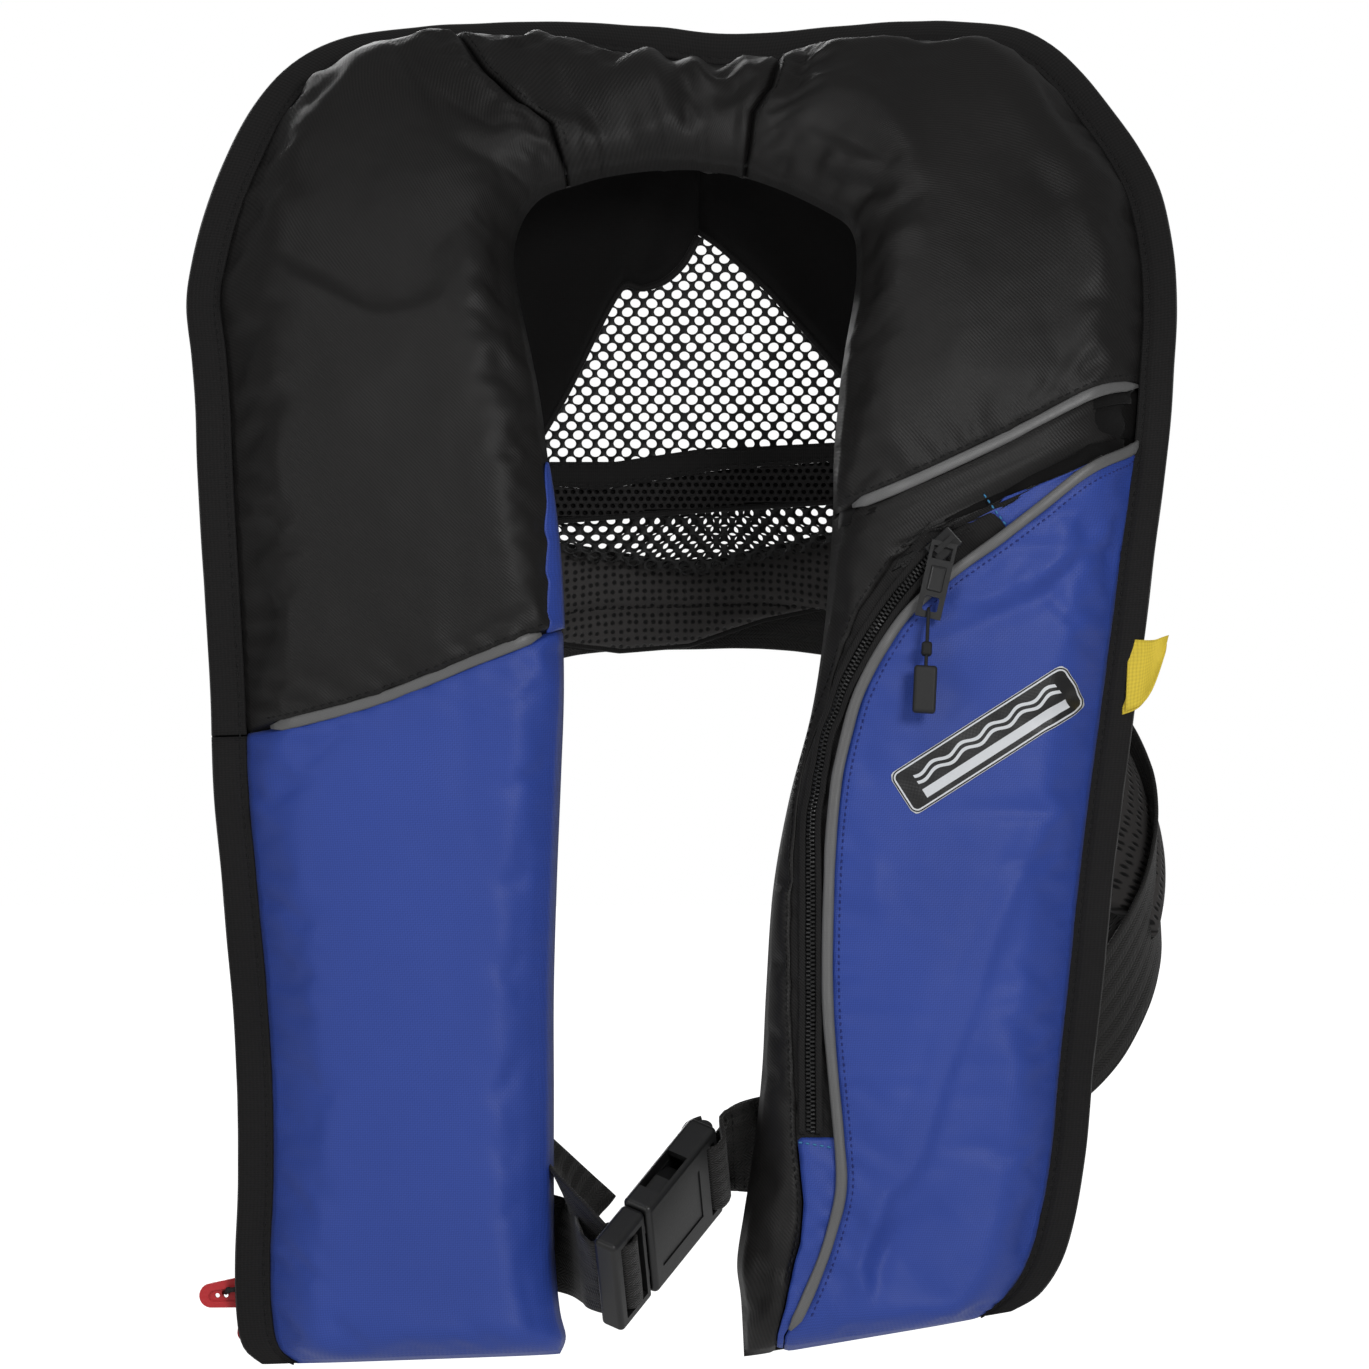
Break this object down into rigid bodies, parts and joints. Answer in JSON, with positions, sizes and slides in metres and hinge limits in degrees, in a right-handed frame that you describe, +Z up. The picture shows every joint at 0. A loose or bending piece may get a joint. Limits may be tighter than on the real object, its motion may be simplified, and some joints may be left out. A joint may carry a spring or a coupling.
{
  "type": "inflatable life jacket",
  "caption": "Horseshoe-shaped inflatable life jacket with a waist belt, side-release buckle, zipped pocket, gas cylinder inflator and mouth tube.",
  "frame": {"origin": "under the middle of the neck arch, on its inner edge, where the jacket hangs from a hook", "axes": "+Z up, -Y towards the front of the jacket, +X towards the wearer's left"},
  "size_m": [0.3996, 0.2236, 0.5471],
  "materials": {
    "black_cloth": "plain woven nylon",
    "blue_cloth": "woven polyester",
    "webbing": "narrow woven webbing and binding",
    "black_plastic": "moulded acetal",
    "hook_loop": "hook and loop tape",
    "reflective": "reflective tape",
    "yellow_cloth": "coated nylon",
    "yellow_plastic": "moulded",
    "red_plastic": "soft moulded plastic",
    "steel": "zinc plated",
    "zip_black": "black enamel",
    "cord": "braided cord",
    "black_rubber": "moulded",
    "mesh": "knitted mesh",
    "green_plastic": "moulded",
    "white_print": "printed film"
  },
  "bodies": {
    "casing": {"cover_back": "black_cloth", "right_shoulder_panel": "black_cloth", "neck_panel": "black_cloth", "left_shoulder_panel": "black_cloth", "left_inner_gusset": "black_cloth", "left_pocket_panel": "blue_cloth", "zip_facing_top": "blue_cloth", "zip_tape": "webbing", "zip_facing_bottom": "blue_cloth", "pocket_lining": "black_cloth", "main_front_binding": "webbing", "back_binding": "webbing", "main_hook_tape": "hook_loop", "loop_tape": "hook_loop", "right_piping": "reflective", "left_upper_piping": "reflective", "pocket_piping": "reflective", "service_tag": "yellow_cloth", "printed_patch": "white_print", "gas_cell": "yellow_cloth", "inflator_body": "black_plastic", "lever_pin": "steel", "cylinder_gasket": "black_rubber", "cell_manifold": "yellow_plastic", "cap_nut": "steel", "seal_indicator": "green_plastic", "oral_tube": "black_rubber", "oral_valve_body": "black_rubber", "oral_valve_spring": "steel", "whistle": "yellow_plastic", "whistle_cord": "cord", "collar_lining": "black_cloth", "back_mesh": "mesh", "back_band": "webbing", "buckle_female": "black_plastic", "belt_tail": "webbing", "belt_webbing": "webbing", "lumbar_pad": "black_cloth", "left_belt_guide": "webbing", "right_belt_guide": "webbing", "zip_coil": "black_plastic"},
    "right_cover": {"right_lower_panel": "blue_cloth", "right_front_binding": "webbing", "right_hook_tape": "hook_loop"},
    "handle": {"pull_handle": "red_plastic", "pull_lanyard": "cord"},
    "lever": {"inflator_lever": "black_plastic"},
    "pin": {"firing_pin": "steel"},
    "cylinder": {"co2_cylinder": "steel"},
    "male_buckle": {"buckle_male": "black_plastic", "male_webbing": "webbing"},
    "prong_upper": {"buckle_prong_upper": "black_plastic"},
    "prong_lower": {"buckle_prong_lower": "black_plastic"},
    "slider": {"zip_slider": "zip_black"},
    "puller": {"zip_puller": "zip_black"},
    "cord": {"zip_cord": "cord", "zip_cord_grip": "zip_black", "zip_cord_knot": "cord"},
    "dust_cap": {"oral_dust_cap": "red_plastic"},
    "poppet": {"oral_valve_poppet": "black_plastic"}
  },
  "joints": [
    {"name": "cover_peel", "type": "hinge", "parent": "casing", "child": "right_cover", "pos_m": [-0.049, -0.0546, -0.3395], "axis": [0, 0, 1], "range_deg": [0, 28]},
    {"name": "handle_pull", "type": "slide", "parent": "casing", "child": "handle", "axis": [-0.9794, 0.1641, -0.1176], "range_m": [0, 0.03]},
    {"name": "lever_turn", "type": "hinge", "parent": "casing", "child": "lever", "pos_m": [-0.141, -0.0511, -0.4195], "axis": [0, 1, 0], "range_deg": [0, 66]},
    {"name": "pin_strike", "type": "slide", "parent": "casing", "child": "pin", "axis": [0, 0, 1], "range_m": [0, 0.0018]},
    {"name": "cylinder_spin", "type": "hinge", "parent": "casing", "child": "cylinder", "pos_m": [-0.141, -0.0511, -0.3795], "axis": [0, 0, 1], "continuous": true},
    {"name": "buckle_release", "type": "slide", "parent": "casing", "child": "male_buckle", "axis": [-0.5329, -0.5639, -0.6309], "range_m": [0, 0.036]},
    {"name": "prong_upper_press", "type": "hinge", "parent": "male_buckle", "child": "prong_upper", "pos_m": [-0.01861, -0.08038, -0.42194], "axis": [-0.8438, 0.4094, 0.3469], "range_deg": [0, 7]},
    {"name": "prong_lower_press", "type": "hinge", "parent": "male_buckle", "child": "prong_lower", "pos_m": [-0.01698, -0.06173, -0.43999], "axis": [-0.8438, 0.4094, 0.3469], "range_deg": [-7.05, 0]},
    {"name": "zip_run", "type": "hinge", "parent": "casing", "child": "slider", "pos_m": [0.2166, -0.07522, -0.2731], "axis": [-0.0049, -0.9999, 0.0108], "range_deg": [-2.5, 45]},
    {"name": "puller_lift", "type": "hinge", "parent": "slider", "child": "puller", "pos_m": [0.10331, -0.07784, -0.15115], "axis": [-0.9746, 0.0229, 0.2227], "range_deg": [0, 105]},
    {"name": "cord_swing", "type": "hinge", "parent": "puller", "child": "cord", "pos_m": [0.09684, -0.08072, -0.17917], "axis": [-0.9988, 0.0069, 0.049], "range_deg": [0, 80]},
    {"name": "cap_lift", "type": "slide", "parent": "casing", "child": "dust_cap", "axis": [0, 0, 1], "range_m": [0, 0.02]},
    {"name": "valve_press", "type": "slide", "parent": "casing", "child": "poppet", "axis": [0, 0, -1], "range_m": [0, 0.003], "deforming": ["oral_valve_spring"]}
  ],
  "couplings": [
    {"joint": "lever_turn", "follows": "handle_pull", "rad_per_m": 36.2},
    {"joint": "pin_strike", "follows": "handle_pull", "ratio": 0.0566},
    {"joint": "prong_lower_press", "follows": "prong_upper_press", "ratio": -1}
  ]
}
